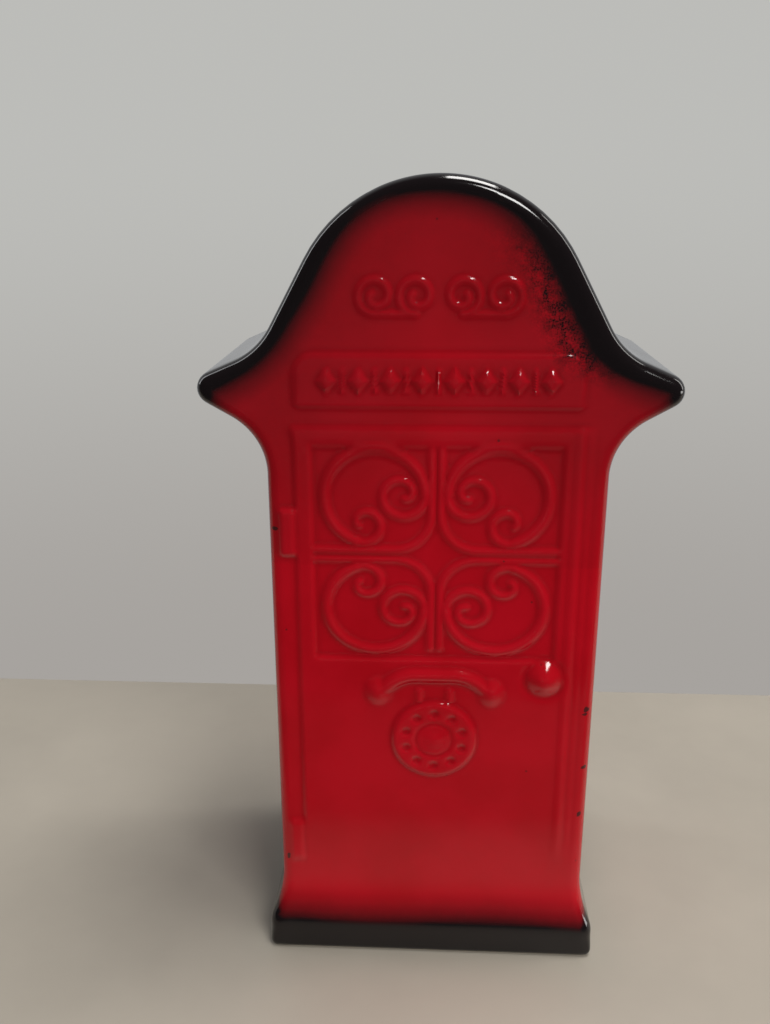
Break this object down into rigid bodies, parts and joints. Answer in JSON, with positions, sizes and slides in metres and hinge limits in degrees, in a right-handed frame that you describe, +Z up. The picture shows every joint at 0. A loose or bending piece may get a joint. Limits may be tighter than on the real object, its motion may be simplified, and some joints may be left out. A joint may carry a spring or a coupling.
{
  "type": "money bank",
  "caption": "Glazed ceramic money bank shaped like a small telephone booth, with a coin slot in the roof and a lockable trap in the base.",
  "frame": {"origin": "centre of the foot, on the surface the booth stands on", "axes": "+Z up, the door faces -Y, +X to the right as the door is looked at"},
  "size_m": [0.1, 0.06, 0.18],
  "materials": {
    "glaze": "glossy red glaze, airbrushed black at the roof edge and the plinth",
    "plated_steel": "zinc plated pressed sheet",
    "rubber": "matt",
    "brass": "turned",
    "bare_steel": "stamped",
    "rivet_aluminium": "set"
  },
  "bodies": {
    "booth": {"booth_shell": "glaze"},
    "trap": {"trap_plate": "plated_steel", "trap_gasket": "rubber", "barrel_sleeve": "brass", "lock_case": "plated_steel", "case_rivets": "rivet_aluminium"},
    "barrel": {"key_barrel": "brass", "drive_disc": "bare_steel", "spring_washer": "bare_steel", "barrel_clip": "bare_steel"},
    "bolt_left_body": {"bolt_left": "bare_steel"},
    "bolt_right_body": {"bolt_right": "bare_steel"}
  },
  "joints": [
    {"name": "trap_drop", "type": "slide", "parent": "booth", "child": "trap", "axis": [0, 0, -1], "range_m": [0, 0.025]},
    {"name": "barrel_turn", "type": "hinge", "parent": "trap", "child": "barrel", "pos_m": [0, 0, 0.008], "axis": [0, 0, -1], "range_deg": [0, 90]},
    {"name": "bolt_left_slide", "type": "slide", "parent": "trap", "child": "bolt_left_body", "axis": [-1, 0, 0], "range_m": [0, 0.006]},
    {"name": "bolt_right_slide", "type": "slide", "parent": "trap", "child": "bolt_right_body", "axis": [1, 0, 0], "range_m": [0, 0.006]}
  ],
  "couplings": [
    {"joint": "bolt_left_slide", "follows": "bolt_right_slide", "ratio": 1},
    {"joint": "barrel_turn", "follows": "bolt_right_slide", "rad_per_m": 261.8}
  ]
}
